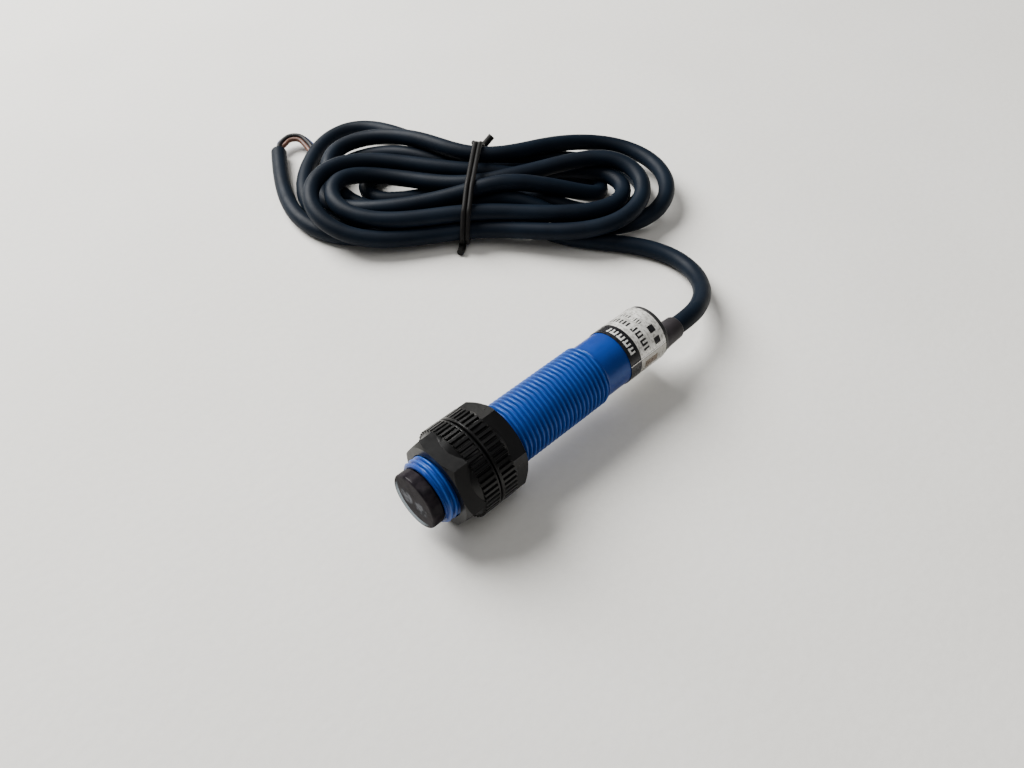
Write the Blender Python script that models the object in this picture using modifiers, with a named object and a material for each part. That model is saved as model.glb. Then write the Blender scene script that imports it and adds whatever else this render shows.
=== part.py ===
"""Photoelectric sensor: M12 threaded barrel, two flanged nuts, label, strain relief and a tied cable hank.

The sensor lies level on its nuts. +X runs from the lens to the cable, +Z is up, and the origin is on the
ground under the middle of the sensor. Distances "along" the sensor start at the lens cap's front face.
"""
import math

import bmesh
import bpy
from mathutils import Matrix, Vector

MM = 0.001

# ---------------------------------------------------------------- driving dimensions, all in mm
SENSOR_LENGTH = 63.7          # lens cap face to the strain relief's end
AXIS_HEIGHT = 8.7             # the nuts' flanges rest on the ground

THREAD_R = 6.0                # M12 x 1: major diameter 12, pitch 1
THREAD_START = 2.4
THREAD_END = 40.6
REAR_R = 5.5                  # smooth rear of the barrel
REAR_END = 57.0
FRONT_BORE_R = 4.95
BORE_R = 4.7
REAR_BORE_R = 5.0
FRONT_BORE_END = 6.2
REAR_BORE_START = 47.0

CAP_R = 5.25
CAP_FACE_THICKNESS = 1.0
CAP_SPIGOT_R = 4.3
CAP_INNER_R = 3.75
CAP_BACK = 2.15
CAP_SPIGOT_END = 5.6

SEAL_MAJOR_R = 4.62
SEAL_MINOR_R = 0.26
SEAL_AT = 3.6

LENS_SPACING = 3.7            # between the emitter's and the receiver's optical axes
LENS_R = 1.65
LENS_FRONT = 1.75
LENS_BACK = 3.0
LENS_SAG = 0.7

HOLDER_FRONT = 3.2
HOLDER_STEP = 6.4
HOLDER_END = 15.4
HOLDER_SPIGOT_R = 3.6
HOLDER_R = 4.55
LIGHT_BORE_R = 1.45

NUT_FRONT = 4.8               # front face of the front nut's hexagon
NUT_JOINT = 11.8              # plane where the two flanges meet
NUT_LENGTH = 6.85
NUT_FLATS = 15.0              # across flats
NUT_FLANGE_R = 8.7
NUT_BORE_R = 6.15
NUT_CONE_START = 2.3          # from the hexagon's face: where the flange's cone leaves the flats
NUT_CONE_END = 3.5
NUT_RIM = 0.45                # plain rim beside the joint
NUT_RIBS = 48
NUT_RIB_DEPTH = 0.4
FRONT_NUT_TURN = 0.0          # degrees: a flat on top
REAR_NUT_TURN = 30.0          # degrees: a corner on top

LABEL_START = 47.1
LABEL_END = 56.8
LABEL_INNER_R = 5.54
LABEL_R = 5.66
LABEL_SEAM = -70.0            # degrees from the top, towards -Y
LABEL_SEAM_GAP = 0.12

END_CAP_PLUG_START = 54.8
END_CAP_PLUG_R = 4.9
END_CAP_R = 5.45
END_CAP_FLANGE_START = 57.1
END_CAP_END = 57.9

CABLE_R = 1.9
CABLE_OFFSET = 2.6            # the cable leaves the rear face off the sensor's axis
CABLE_ANGLE = -116.0          # degrees from the top, towards -Y
CABLE_JACKET_START = 51.4
BOOT_START = 58.1
BOOT_ROOT_R = 2.6
BOOT_END_R = 2.3
CABLE_HOLE_R = 2.1

CLAMP_START = 52.4
CLAMP_END = 54.4
CLAMP_R = 2.35

ADJUSTER_OFFSET = 2.75
ADJUSTER_ANGLE = 62.0
ADJUSTER_HEAD_R = 1.25
ADJUSTER_STEM_R = 0.7
ADJUSTER_HOLE_R = 1.4
ADJUSTER_HEAD_START = 55.6
ADJUSTER_END = 57.7
ADJUSTER_STEM_START = 52.6

WINDOW_ACROSS = 1.5
WINDOW_UP = -2.6
WINDOW_R = 0.8
WINDOW_START = 51.2
WINDOW_END = 58.1

EMITTER_R = 1.2
EMITTER_TIP = 11.6
EMITTER_BASE = 15.2
EMITTER_LEAD_R = 0.22
EMITTER_LEAD_SPACING = 1.2

PHOTODIODE_SIDE = 1.8
PHOTODIODE_FRONT = 15.9
PHOTODIODE_THICKNESS = 1.0
SHIELD_FRONT = 15.7
SHIELD_BACK = 18.4
SHIELD_R = 1.75
SHIELD_WALL = 0.25

# Boxes on the board: length, width, height, where the front end is along the sensor, middle across.
SENSING_IC = (4.0, 4.0, 0.9, 24.0, 0.0)
OUTPUT_TRANSISTOR = (2.9, 1.6, 1.0, 38.0, -1.6)
SMOOTHING_CAPACITOR = (3.2, 1.6, 1.4, 33.0, 1.4)
PROTECTION_DIODE = (2.6, 1.5, 1.1, 42.0, 1.6)
INDICATOR_LED = (1.2, 1.4, 2.2, 49.6, WINDOW_ACROSS)
TRIMMER_SIZE = (3.6, 3.0, 2.5)
TRIMMER_START = 48.6
TRIMMER_SHIFT = -0.3          # the trimmer's middle from the adjuster's axis, across
SOLDER_GAP = 0.05

BOARD_START = 18.8
BOARD_NOTCH = 48.0            # the board is cut back here to make room for the cable
BOARD_END = 52.0
BOARD_HALF_WIDTH = 4.2
BOARD_THICKNESS = 0.8

CORE_R = 0.6
CORE_SPREAD = 0.9             # cores' distance from the middle of the jacket

# The hank lies beside the sensor. Its own u axis runs along the loops and its v axis away from the sensor.
HANK_CENTRE = (66.9, 60.7)    # along the sensor and towards +Y, from the point under the lens face
HANK_TURN = -43.3             # degrees from +X to the u axis
HANK_HEIGHT = 12.4
TIE_WIDTH = 2.6
TIE_THICKNESS = 1.2
TIE_CLEARANCE = 0.3
TIE_GROOVE = 1.5              # the tie passes below the loops in a groove this deep

# Outer outline of the folded loops (u, v), anticlockwise, smooth through every point. The tie is at u = 0.
HANK_OUTLINE = [
    (47.4, 0.5), (43.5, 13.5), (33.0, 20.6), (17.0, 17.0), (0.0, 14.2), (-13.0, 23.0), (-25.0, 32.0),
    (-36.0, 31.0), (-42.0, 19.5), (-41.6, 8.8), (-38.6, 2.0), (-36.6, -4.0), (-36.2, -9.0), (-32.5, -15.5),
    (-21.3, -18.8), (-11.0, -17.6), (0.0, -15.2), (17.0, -17.4), (33.0, -16.2), (43.0, -10.0),
]

# The cable's route from the strain relief to the hank, given like HANK_CENTRE, with the height.
LEAD_ROUTE = [
    (63.7, -2.34, 7.56), (68.0, -2.2, 7.3), (72.3, -1.2, 6.5), (76.6, 1.1, 5.0), (80.7, 4.8, 3.4),
    (84.2, 9.6, 2.35), (86.3, 14.6, 2.0), (86.3, 18.4, 2.0), (84.7, 21.2, 2.0),
]

# The cable's last stretch, from the hank to the cut end of the jacket, in the hank's (u, v) and height.
TAIL_ROUTE = [
    (-39.9, -3.0, 2.0), (-42.6, 1.8, 2.0), (-45.4, 7.5, 2.0), (-47.8, 13.4, 2.0), (-49.2, 19.6, 2.0),
]
CORE_BEND_R = 2.2             # the cores turn back to the hank beyond the cut end
CORE_PITCH = 1.25


# ---------------------------------------------------------------- scene helpers
def clear_scene():
    for item in list(bpy.data.objects):
        bpy.data.objects.remove(item, do_unlink=True)


def new_collection(name):
    collection = bpy.data.collections.new(name)
    bpy.context.scene.collection.children.link(collection)
    return collection


def new_frame(name, matrix):
    """An empty that carries parts."""
    empty = bpy.data.objects.new(name, None)
    PARTS.objects.link(empty)
    empty.matrix_world = matrix
    return empty


clear_scene()
PARTS = new_collection("photoelectric_sensor")
CUTTERS = new_collection("cutters")
AXIS_MATRIX = (Matrix.Translation((-SENSOR_LENGTH / 2 * MM, 0.0, AXIS_HEIGHT * MM))
               @ Matrix.Rotation(math.pi / 2, 4, 'Y'))
AXIS = new_frame("sensor_axis", AXIS_MATRIX)


def new_material(name, color, roughness, metallic=0.0, alpha=1.0):
    material = bpy.data.materials.new(name)
    material.use_nodes = True
    shader = material.node_tree.nodes["Principled BSDF"]
    shader.inputs["Base Color"].default_value = (*color, 1.0)
    shader.inputs["Roughness"].default_value = roughness
    shader.inputs["Metallic"].default_value = metallic
    shader.inputs["Alpha"].default_value = alpha
    return material


def add_part(name, mesh, material, parent, location=(0.0, 0.0, 0.0), rotation=(0.0, 0.0, 0.0)):
    part = bpy.data.objects.new(name, mesh)
    PARTS.objects.link(part)
    mesh.materials.clear()
    mesh.materials.append(material)
    part.parent = parent
    part.location = [value * MM for value in location]
    part.rotation_euler = rotation
    return part


def make_cutter(part):
    """Turn a finished solid into a hidden tool for Boolean cuts."""
    for collection in list(part.users_collection):
        collection.objects.unlink(part)
    CUTTERS.objects.link(part)
    part.hide_render = True
    part.display_type = 'WIRE'
    return part


def combine(part, tool, operation):
    boolean = part.modifiers.new(operation.lower() + "_" + tool.name, 'BOOLEAN')
    boolean.operation = operation
    boolean.solver = 'EXACT'
    boolean.object = tool
    make_cutter(tool)


# ---------------------------------------------------------------- places on the sensor
# The axis empty's local Z points along the sensor, its local X points down and its local Y is world Y.
def on_sensor(along, across=0.0, up=0.0):
    return (-up, across, along)


def offset_at(radius, angle_from_top):
    """(across, up) of a point off the axis; the angle is in degrees from the top towards +Y."""
    angle = math.radians(angle_from_top)
    return radius * math.sin(angle), radius * math.cos(angle)


def on_ground(point):
    """World place, in metres, of a point in mm from the one on the ground under the lens face."""
    return Vector(((point[0] - SENSOR_LENGTH / 2) * MM, point[1] * MM, point[2] * MM))


def hank_matrix():
    centre = on_ground((*HANK_CENTRE, 0.0))
    return Matrix.Translation(centre) @ Matrix.Rotation(math.radians(HANK_TURN), 4, 'Z')


def on_hank(point):
    """World place, in metres, of a point in mm in the hank's frame."""
    return hank_matrix() @ (Vector(point) * MM)


# ---------------------------------------------------------------- shape helpers
def polyline_mesh(name, points, closed):
    mesh = bpy.data.meshes.new(name)
    edges = [(i, i + 1) for i in range(len(points) - 1)]
    if closed:
        edges.append((len(points) - 1, 0))
    mesh.from_pydata([(radius * MM, 0.0, along * MM) for radius, along in points], edges, [])
    return mesh


def turned(name, profile, material, steps=48, closed=True, at=(0.0, 0.0, 0.0)):
    """A solid of revolution about the local Z axis.

    The profile holds (radius, along) pairs that run from the rear to the front on the outer side. A
    closed profile comes back along the bore; an open one starts and ends on the axis.
    """
    part = add_part(name, polyline_mesh(name, profile, closed), material, AXIS, at)
    screw = part.modifiers.new("turn", 'SCREW')
    screw.axis = 'Z'
    screw.angle = math.tau
    screw.steps = steps
    screw.render_steps = steps
    screw.use_merge_vertices = True
    screw.merge_threshold = 0.00001
    screw.use_smooth_shade = True
    return part


def cylinder_profile(radius, start, end):
    return [(0.0, end), (radius, end), (radius, start), (0.0, start)]


def ring_profile(outer, inner, start, end):
    return [(outer, end), (outer, start), (inner, start), (inner, end)]


def block(name, material, length, width, height, along, across, up, bevel=0.0):
    """A box whose front lower edge starts at along and up, centred on across."""
    mesh = bpy.data.meshes.new(name)
    shape = bmesh.new()
    bmesh.ops.create_cube(shape, size=1.0)
    bmesh.ops.scale(shape, vec=(height * MM, width * MM, length * MM), verts=shape.verts)
    shape.to_mesh(mesh)
    shape.free()
    place = on_sensor(along + length / 2, across, up + height / 2)
    part = add_part(name, mesh, material, AXIS, place)
    if bevel > 0.0:
        rounding = part.modifiers.new("edges", 'BEVEL')
        rounding.width = bevel * MM
        rounding.segments = 2
    return part


def curve_to_mesh(item):
    """Replace a curve object's data by the closed mesh that it shows."""
    bpy.context.view_layer.update()
    evaluated = item.evaluated_get(bpy.context.evaluated_depsgraph_get())
    mesh = bpy.data.meshes.new_from_object(evaluated)
    shape = bmesh.new()
    shape.from_mesh(mesh)
    bmesh.ops.remove_doubles(shape, verts=shape.verts, dist=0.000001)
    bmesh.ops.recalc_face_normals(shape, faces=shape.faces)
    shape.to_mesh(mesh)
    shape.free()
    solid = bpy.data.objects.new(item.name + "_solid", mesh)
    solid.parent = item.parent
    solid.location = item.location
    solid.rotation_euler = item.rotation_euler
    PARTS.objects.link(solid)
    name = item.name
    bpy.data.objects.remove(item, do_unlink=True)
    solid.name = name
    return solid


def extruded(name, outline, thickness, material, parent, location, smooth_outline=False):
    """A flat outline in the local XY plane, thickened both ways from its own plane."""
    curve = bpy.data.curves.new(name, 'CURVE')
    curve.dimensions = '2D'
    curve.fill_mode = 'BOTH'
    curve.extrude = thickness / 2 * MM
    curve.resolution_u = 5
    spline = curve.splines.new('BEZIER' if smooth_outline else 'POLY')
    if smooth_outline:
        spline.bezier_points.add(len(outline) - 1)
        for point, place in zip(spline.bezier_points, outline):
            point.co = (place[0] * MM, place[1] * MM, 0.0)
            point.handle_left_type = 'AUTO'
            point.handle_right_type = 'AUTO'
    else:
        spline.points.add(len(outline) - 1)
        for point, place in zip(spline.points, outline):
            point.co = (place[0] * MM, place[1] * MM, 0.0, 1.0)
    spline.use_cyclic_u = True
    return curve_to_mesh(add_part(name, curve, material, parent, location))


def smooth_route(points, spacing):
    """Points about one spacing apart on a Catmull-Rom curve through the given points."""
    route = [Vector(point) for point in points]
    route = [2 * route[0] - route[1]] + route + [2 * route[-1] - route[-2]]
    result = [route[1]]
    for i in range(1, len(route) - 2):
        before, start, end, after = route[i - 1:i + 3]
        count = max(1, round((end - start).length / spacing))
        for step in range(1, count + 1):
            t = step / count
            place = 0.5 * (2 * start + (end - before) * t
                           + (2 * before - 5 * start + 4 * end - after) * t ** 2
                           + (3 * start - before - 3 * end + after) * t ** 3)
            result.append(place)
    return result


def tube(name, points, radius, material, parent=None):
    """A round tube with flat ends through points in metres."""
    curve = bpy.data.curves.new(name, 'CURVE')
    curve.dimensions = '3D'
    curve.bevel_depth = radius * MM
    curve.bevel_resolution = 2
    curve.use_fill_caps = True
    spline = curve.splines.new('POLY')
    spline.points.add(len(points) - 1)
    for point, place in zip(spline.points, points):
        point.co = (*place, 1.0)
    return add_part(name, curve, material, parent)


# ---------------------------------------------------------------- barrel and front
def make_housing(material):
    profile = [
        (REAR_R, REAR_END), (REAR_R, THREAD_END + 0.5), (THREAD_R, THREAD_END), (THREAD_R, THREAD_START + 0.4),
        (THREAD_R - 0.4, THREAD_START), (FRONT_BORE_R, THREAD_START), (FRONT_BORE_R, FRONT_BORE_END),
        (BORE_R, FRONT_BORE_END), (BORE_R, REAR_BORE_START), (REAR_BORE_R, REAR_BORE_START + 0.3),
        (REAR_BORE_R, REAR_END),
    ]
    return turned("housing", profile, material, steps=64)


def make_lens_cap(material):
    edge = 0.25
    profile = [
        (0.0, CAP_FACE_THICKNESS), (CAP_INNER_R, CAP_FACE_THICKNESS), (CAP_INNER_R, CAP_SPIGOT_END),
        (CAP_SPIGOT_R, CAP_SPIGOT_END), (CAP_SPIGOT_R, CAP_BACK), (CAP_R, CAP_BACK), (CAP_R, edge),
        (CAP_R - edge, 0.0), (0.0, 0.0),
    ]
    return turned("lens_cap", profile, material, closed=False)


def make_cap_seal(material):
    sides = 8
    profile = []
    for i in range(sides):
        angle = -math.tau * i / sides
        profile.append((SEAL_MAJOR_R + SEAL_MINOR_R * math.cos(angle), SEAL_AT + SEAL_MINOR_R * math.sin(angle)))
    return turned("cap_seal", profile, material, steps=32)


def make_lens(name, material, across):
    """Flat-backed lens: the rim is a short cylinder and the front is a shallow dome."""
    dome_steps = 5
    rim = LENS_FRONT + LENS_SAG
    profile = [(0.0, LENS_BACK), (LENS_R, LENS_BACK), (LENS_R, rim)]
    sphere_r = (LENS_R ** 2 + LENS_SAG ** 2) / (2 * LENS_SAG)
    half_angle = math.asin(LENS_R / sphere_r)
    for i in range(1, dome_steps):
        angle = half_angle * (1 - i / dome_steps)
        profile.append((sphere_r * math.sin(angle), LENS_FRONT + sphere_r * (1 - math.cos(angle))))
    profile.append((0.0, LENS_FRONT))
    return turned(name, profile, material, steps=24, closed=False, at=on_sensor(0.0, across))


def make_lens_holder(material):
    profile = [
        (0.0, HOLDER_END), (HOLDER_R, HOLDER_END), (HOLDER_R, HOLDER_STEP), (HOLDER_SPIGOT_R, HOLDER_STEP),
        (HOLDER_SPIGOT_R, HOLDER_FRONT), (0.0, HOLDER_FRONT),
    ]
    holder = turned("lens_holder", profile, material, closed=False)
    for side in (-1, 1):
        bore_profile = cylinder_profile(LIGHT_BORE_R, HOLDER_FRONT - 1.0, HOLDER_END + 1.0)
        bore = turned("light_bore_cutter", bore_profile, material, 24, False, on_sensor(0, side * LENS_SPACING / 2))
        combine(holder, bore, 'DIFFERENCE')
    return holder


def make_emitter_led(material):
    """Domed emitter in the rear of its light bore, with two leads back to the board."""
    dome_steps = 4
    profile = [(0.0, EMITTER_BASE), (EMITTER_R, EMITTER_BASE)]
    for i in range(dome_steps):
        angle = math.pi / 2 * (1 - i / dome_steps)
        profile.append((EMITTER_R * math.sin(angle), EMITTER_TIP + EMITTER_R * (1 - math.cos(angle))))
    profile.append((0.0, EMITTER_TIP))
    across = LENS_SPACING / 2
    led = turned("emitter_led", profile, material, 24, False, on_sensor(0.0, across))
    for side in (-1, 1):
        lead_profile = cylinder_profile(EMITTER_LEAD_R, EMITTER_BASE - 0.6, BOARD_START - 0.3)
        lead = turned("emitter_lead_tool", lead_profile, material, 12, False,
                      on_sensor(0.0, across + side * EMITTER_LEAD_SPACING / 2))
        combine(led, lead, 'UNION')
    return led


def make_receiver(diode_material, shield_material):
    across = -LENS_SPACING / 2
    block("photodiode", diode_material, PHOTODIODE_THICKNESS, PHOTODIODE_SIDE, PHOTODIODE_SIDE,
          PHOTODIODE_FRONT, across, -PHOTODIODE_SIDE / 2, bevel=0.1)
    inner_r = SHIELD_R - SHIELD_WALL
    inner_back = SHIELD_BACK - SHIELD_WALL
    profile = [
        (0.0, SHIELD_BACK), (SHIELD_R, SHIELD_BACK), (SHIELD_R, SHIELD_FRONT), (inner_r, SHIELD_FRONT),
        (inner_r, inner_back), (0.0, inner_back),
    ]
    turned("receiver_shield", profile, shield_material, 32, False, on_sensor(0.0, across))


# ---------------------------------------------------------------- nuts
def ribbed_outline():
    """Outline of the knurled flange: a round-bottomed valley and a flat-topped rib, repeated."""
    points = []
    for i in range(NUT_RIBS):
        for part_of_pitch, depth in ((0.0, 0.0), (0.42, 0.0), (0.56, NUT_RIB_DEPTH), (0.86, NUT_RIB_DEPTH)):
            angle = math.tau * (i + part_of_pitch - 0.21) / NUT_RIBS
            radius = NUT_FLANGE_R - depth
            points.append((radius * math.cos(angle), radius * math.sin(angle)))
    return points


def hexagon_outline(turn):
    corner_r = NUT_FLATS / 2 / math.cos(math.radians(30))
    angles = [math.radians(turn + 30 + 60 * i) for i in range(6)]
    return [(corner_r * math.cos(angle), corner_r * math.sin(angle)) for angle in angles]


def make_nut(name, material, hexagon_face, direction, turn):
    """Hexagon at hexagon_face, flange towards direction (+1 rearwards, -1 forwards)."""
    overlap = 0.4
    rib_length = NUT_LENGTH - NUT_CONE_END - NUT_RIM

    def place(distance):
        return hexagon_face + direction * distance

    hexagon_length = NUT_CONE_END + overlap
    nut = extruded(name, hexagon_outline(turn), hexagon_length, material, AXIS,
                   on_sensor(place(hexagon_length / 2)))
    flat_r = NUT_FLATS / 2
    cone = [
        (0.0, place(NUT_LENGTH)), (NUT_FLANGE_R - 0.15, place(NUT_LENGTH)), (NUT_FLANGE_R, place(NUT_LENGTH - 0.15)),
        (NUT_FLANGE_R, place(NUT_LENGTH - NUT_RIM)), (NUT_FLANGE_R - NUT_RIB_DEPTH, place(NUT_LENGTH - NUT_RIM)),
        (NUT_FLANGE_R - NUT_RIB_DEPTH, place(NUT_CONE_END + 0.1)), (flat_r - 0.1, place(NUT_CONE_START)),
        (0.0, place(NUT_CONE_START)),
    ]
    if direction < 0:
        cone.reverse()
    flange = turned(name + "_flange_tool", cone, material, 96, False)
    combine(nut, flange, 'UNION')
    ribs = extruded(name + "_rib_tool", ribbed_outline(), rib_length + 0.1, material, AXIS,
                    on_sensor(place(NUT_CONE_END + (rib_length + 0.1) / 2)))
    combine(nut, ribs, 'UNION')
    chamfer_r = NUT_FLATS / 2 + 0.1
    chamfer_far = NUT_FLANGE_R + 0.6
    chamfer_run = (chamfer_far - chamfer_r) * math.tan(math.radians(30))
    chamfer = [
        (0.0, place(NUT_LENGTH + 1.0)), (chamfer_far, place(NUT_LENGTH + 1.0)), (chamfer_far, place(chamfer_run)),
        (chamfer_r, place(0.0)), (chamfer_r, place(-0.5)), (0.0, place(-0.5)),
    ]
    if direction < 0:
        chamfer.reverse()
    combine(nut, turned(name + "_chamfer_tool", chamfer, material, 72, False), 'INTERSECT')
    low = min(place(-1.0), place(NUT_LENGTH + 1.0))
    high = max(place(-1.0), place(NUT_LENGTH + 1.0))
    bore = turned(name + "_bore_tool", cylinder_profile(NUT_BORE_R, low, high), material, 64, False)
    combine(nut, bore, 'DIFFERENCE')
    return nut


# ---------------------------------------------------------------- electronics
def make_board(material):
    half = BOARD_HALF_WIDTH
    outline = [
        (BOARD_START, -half), (BOARD_NOTCH, -half), (BOARD_NOTCH, 0.5), (BOARD_END, 0.5), (BOARD_END, 3.6),
        (BOARD_NOTCH, 3.9), (BOARD_NOTCH - 2.0, half), (BOARD_START, half),
    ]
    board = extruded("circuit_board", [(-along, across) for along, across in outline], BOARD_THICKNESS,
                     material, AXIS, (0.0, 0.0, 0.0))
    board.rotation_euler = (0.0, math.pi / 2, 0.0)
    return board


def board_part(name, material, size_and_place, underneath=False):
    """A box soldered to the top of the board, or to its underside."""
    length, width, height, along, across = size_and_place
    top = BOARD_THICKNESS / 2 + SOLDER_GAP
    up = -top - height if underneath else top
    return block(name, material, length, width, height, along, across, up, bevel=0.08)


def make_board_parts(materials):
    board_part("sensing_ic", materials["package"], SENSING_IC)
    board_part("output_transistor", materials["package"], OUTPUT_TRANSISTOR)
    board_part("smoothing_capacitor", materials["capacitor"], SMOOTHING_CAPACITOR)
    board_part("protection_diode", materials["package"], PROTECTION_DIODE, underneath=True)
    board_part("indicator_led", materials["indicator"], INDICATOR_LED, underneath=True)
    across, up = offset_at(ADJUSTER_OFFSET, ADJUSTER_ANGLE)
    board_part("sensitivity_trimmer", materials["trimmer"], (*TRIMMER_SIZE, TRIMMER_START, across + TRIMMER_SHIFT))
    return across, up


def make_adjuster(material, across, up):
    profile = [
        (0.0, ADJUSTER_END), (ADJUSTER_HEAD_R, ADJUSTER_END), (ADJUSTER_HEAD_R, ADJUSTER_HEAD_START),
        (ADJUSTER_STEM_R, ADJUSTER_HEAD_START), (ADJUSTER_STEM_R, ADJUSTER_STEM_START), (0.0, ADJUSTER_STEM_START),
    ]
    adjuster = turned("sensitivity_adjuster", profile, material, 32, False, on_sensor(0.0, across, up))
    slot = block("adjuster_slot_cutter", material, 1.2, 3.0, 0.45, ADJUSTER_END - 0.6, across, up - 0.225)
    combine(adjuster, slot, 'DIFFERENCE')
    return adjuster


def make_inner_core(name, material, across, up, pad_across):
    """One conductor from the cable's jacket up over the board's end to its pad."""
    rest = BOARD_THICKNESS / 2 + CORE_R + 0.1
    route = [
        (CABLE_JACKET_START - 0.3, across, up), (CABLE_JACKET_START - 1.2, across, up),
        (CABLE_JACKET_START - 2.2, (across + pad_across) / 2, up * 0.4 + rest * 0.6),
        (BOARD_NOTCH - 0.6, pad_across, rest), (BOARD_NOTCH - 2.4, pad_across, rest),
    ]
    centre = [on_ground((along, side, AXIS_HEIGHT + height)) for along, side, height in route]
    return tube(name, smooth_route(centre, 1.0 * MM), CORE_R - 0.1, material)


# ---------------------------------------------------------------- rear end
def make_end_cap(material, adjuster_place):
    profile = [
        (0.0, END_CAP_END), (END_CAP_R - 0.2, END_CAP_END), (END_CAP_R, END_CAP_END - 0.2),
        (END_CAP_R, END_CAP_FLANGE_START), (END_CAP_PLUG_R, END_CAP_FLANGE_START),
        (END_CAP_PLUG_R, END_CAP_PLUG_START), (0.0, END_CAP_PLUG_START),
    ]
    cap = turned("end_cap", profile, material, 64, False)
    holes = [
        ("cable_hole", CABLE_HOLE_R, offset_at(CABLE_OFFSET, CABLE_ANGLE)),
        ("adjuster_hole", ADJUSTER_HOLE_R, adjuster_place),
        ("window_hole", WINDOW_R + 0.1, (WINDOW_ACROSS, WINDOW_UP)),
    ]
    for name, radius, (across, up) in holes:
        hole_profile = cylinder_profile(radius, END_CAP_PLUG_START - 1.0, END_CAP_END + 1.0)
        hole = turned(name + "_cutter", hole_profile, material, 32, False, on_sensor(0.0, across, up))
        combine(cap, hole, 'DIFFERENCE')
    return cap


def make_strain_relief(material):
    profile = [
        (BOOT_END_R - 0.15, SENSOR_LENGTH), (BOOT_END_R, SENSOR_LENGTH - 0.3), (BOOT_ROOT_R - 0.1, BOOT_START + 1.6),
        (BOOT_ROOT_R, BOOT_START + 1.0), (BOOT_ROOT_R, BOOT_START), (CABLE_HOLE_R, BOOT_START),
        (CABLE_HOLE_R, SENSOR_LENGTH),
    ]
    across, up = offset_at(CABLE_OFFSET, CABLE_ANGLE)
    return turned("strain_relief", profile, material, 32, True, on_sensor(0.0, across, up))


def make_cable_clamp(material):
    across, up = offset_at(CABLE_OFFSET, CABLE_ANGLE)
    profile = ring_profile(CLAMP_R, CABLE_HOLE_R - 0.05, CLAMP_START, CLAMP_END)
    return turned("cable_clamp", profile, material, 32, True, on_sensor(0.0, across, up))


def make_label(material):
    """A thin sleeve that is open along its seam."""
    profile = ring_profile(LABEL_R, LABEL_INNER_R, LABEL_START, LABEL_END)
    label = turned("label", profile, material, 72)
    seam_length = LABEL_END - LABEL_START + 2.0
    seam = block("label_seam_cutter", material, seam_length, LABEL_SEAM_GAP, 2.0, LABEL_START - 1.0, 0.0, 0.0)
    across, up = offset_at(LABEL_R, LABEL_SEAM)
    middle = (LABEL_START + LABEL_END) / 2
    seam.location = [value * MM for value in on_sensor(middle, across, up)]
    seam.rotation_euler = (0.0, 0.0, -math.radians(LABEL_SEAM))
    combine(label, seam, 'DIFFERENCE')
    return label


# ---------------------------------------------------------------- cable
def box_tool(name, material, size, centre, parent):
    mesh = bpy.data.meshes.new(name)
    shape = bmesh.new()
    bmesh.ops.create_cube(shape, size=1.0)
    bmesh.ops.scale(shape, vec=[value * MM for value in size], verts=shape.verts)
    shape.to_mesh(mesh)
    shape.free()
    return add_part(name, mesh, material, parent, centre)


def waist_edges():
    """The hank's outline at the tie: v on the near side and on the far side."""
    at_waist = [v for u, v in HANK_OUTLINE if u == 0.0]
    return min(at_waist), max(at_waist)


def make_hank(material, parent):
    hank = extruded("cable_hank", HANK_OUTLINE, HANK_HEIGHT, material, parent, (0, 0, HANK_HEIGHT / 2), True)
    near, far = waist_edges()
    groove_size = (TIE_WIDTH + 2 * TIE_CLEARANCE, far - near + 10.0, 2 * TIE_GROOVE)
    groove = box_tool("tie_groove_cutter", material, groove_size, (0.0, (near + far) / 2, 0.0), parent)
    combine(hank, groove, 'DIFFERENCE')
    return hank


def rounded_box_outline(width, height, radius):
    """Outline of a box with round corners, about its own middle."""
    corner_steps = 4
    points = []
    for quarter in range(4):
        side_x = 1 if quarter in (0, 3) else -1
        side_y = 1 if quarter in (0, 1) else -1
        for step in range(corner_steps + 1):
            angle = math.pi / 2 * (quarter + step / corner_steps)
            points.append((side_x * (width / 2 - radius) + radius * math.cos(angle),
                           side_y * (height / 2 - radius) + radius * math.sin(angle)))
    return points


def make_tie(material, parent):
    """A flat band round the hank's waist, made as an upright ring with round corners."""
    near, far = waist_edges()
    side_clearance = 1.1
    width = far - near + 2 * side_clearance
    height = HANK_HEIGHT + TIE_CLEARANCE - TIE_THICKNESS
    middle = (0.0, (near + far) / 2, TIE_THICKNESS + height / 2)
    upright = (math.pi / 2, 0.0, math.pi / 2)
    outer = rounded_box_outline(width + 2 * TIE_THICKNESS, height + 2 * TIE_THICKNESS, 2.0)
    inner = rounded_box_outline(width, height, 0.9)
    band = extruded("cable_tie", outer, TIE_WIDTH, material, parent, middle)
    inside = extruded("tie_inside_cutter", inner, TIE_WIDTH + 2.0, material, parent, middle)
    band.rotation_euler = upright
    inside.rotation_euler = upright
    combine(band, inside, 'DIFFERENCE')
    return band


def make_lead(material):
    """From the jacket's end inside the housing, straight through the strain relief, and down to the hank."""
    across, up = offset_at(CABLE_OFFSET, CABLE_ANGLE)
    inside = [(along, across, AXIS_HEIGHT + up) for along in (CABLE_JACKET_START, 55.0, 59.0)]
    route = [on_ground(point) for point in inside + LEAD_ROUTE]
    return tube("cable_lead", smooth_route(route, 2.2 * CABLE_R * MM), CABLE_R, material)


def make_tail(material):
    route = [on_hank(point) for point in TAIL_ROUTE]
    return tube("cable_tail", smooth_route(route, 2.2 * CABLE_R * MM), CABLE_R, material)


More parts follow.
